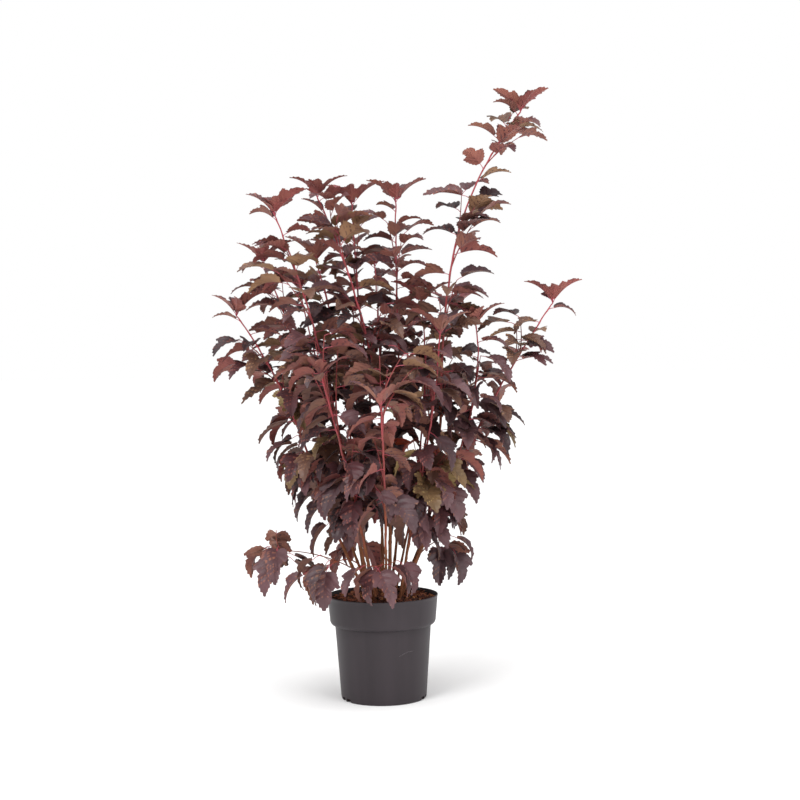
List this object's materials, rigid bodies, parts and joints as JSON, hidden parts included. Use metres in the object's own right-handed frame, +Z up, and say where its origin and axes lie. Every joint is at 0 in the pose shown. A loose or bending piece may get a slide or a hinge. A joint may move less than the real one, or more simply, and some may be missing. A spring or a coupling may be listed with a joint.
{
  "type": "potted ninebark shrub",
  "caption": "Bushy dark red-leaved ninebark shrub of many slender canes, standing in a round plastic nursery pot filled with bark mulch.",
  "frame": {"origin": "centre of the pot's flat underside, on the surface it stands on", "axes": "+Z up, -Y the front that faces the camera, +X to the right as seen from the front"},
  "size_m": [0.6903, 0.4786, 1.1412],
  "materials": {
    "pot_plastic": "satin dark charcoal moulded plastic",
    "bark_mulch": "loose reddish-brown bark chips",
    "cane_bark": "smooth young bark, crimson above and brown at the foot",
    "leaves": "soft satin leaf, dusky purple-red"
  },
  "bodies": {
    "root": {"cane_back_centre": "cane_bark", "cane_back_left": "cane_bark", "cane_back_right": "cane_bark", "cane_centre": "cane_bark", "cane_centre_behind": "cane_bark", "cane_far_left": "cane_bark", "cane_front_centre": "cane_bark", "cane_front_left": "cane_bark", "cane_front_right": "cane_bark", "cane_inner_left": "cane_bark", "cane_inner_right": "cane_bark", "cane_left_centre": "cane_bark", "cane_left_long": "cane_bark", "cane_left_middle": "cane_bark", "cane_left_upper": "cane_bark", "cane_right_arm": "cane_bark", "cane_right_middle": "cane_bark", "cane_tall_right": "cane_bark", "foliage_arm_lower": "leaves", "foliage_arm_top": "leaves", "foliage_back_centre_top": "leaves", "foliage_back_left_top": "leaves", "foliage_back_right_top": "leaves", "foliage_behind_top": "leaves", "foliage_centre_top": "leaves", "foliage_far_left_lower": "leaves", "foliage_far_left_top": "leaves", "foliage_heart_back": "leaves", "foliage_heart_back_left": "leaves", "foliage_heart_back_low": "leaves", "foliage_heart_front_left": "leaves", "foliage_heart_front_low": "leaves", "foliage_heart_front_right": "leaves", "foliage_heart_left": "leaves", "foliage_heart_left_low": "leaves", "foliage_heart_middle": "leaves", "foliage_heart_right": "leaves", "foliage_heart_right_low": "leaves", "foliage_left_centre_top": "leaves", "foliage_left_long_top": "leaves", "foliage_left_middle_top": "leaves", "foliage_left_upper_top": "leaves", "foliage_low_back": "leaves", "foliage_low_far_left": "leaves", "foliage_low_front": "leaves", "foliage_low_left": "leaves", "foliage_low_right": "leaves", "foliage_right_middle": "leaves", "foliage_tall_lower": "leaves", "foliage_tall_middle": "leaves", "foliage_tall_top": "leaves", "pot": "pot_plastic", "soil": "bark_mulch", "twig_far_left": "cane_bark", "twig_low_back": "cane_bark", "twig_low_front": "cane_bark", "twig_low_left": "cane_bark", "twig_low_right": "cane_bark"}
  },
  "joints": []
}
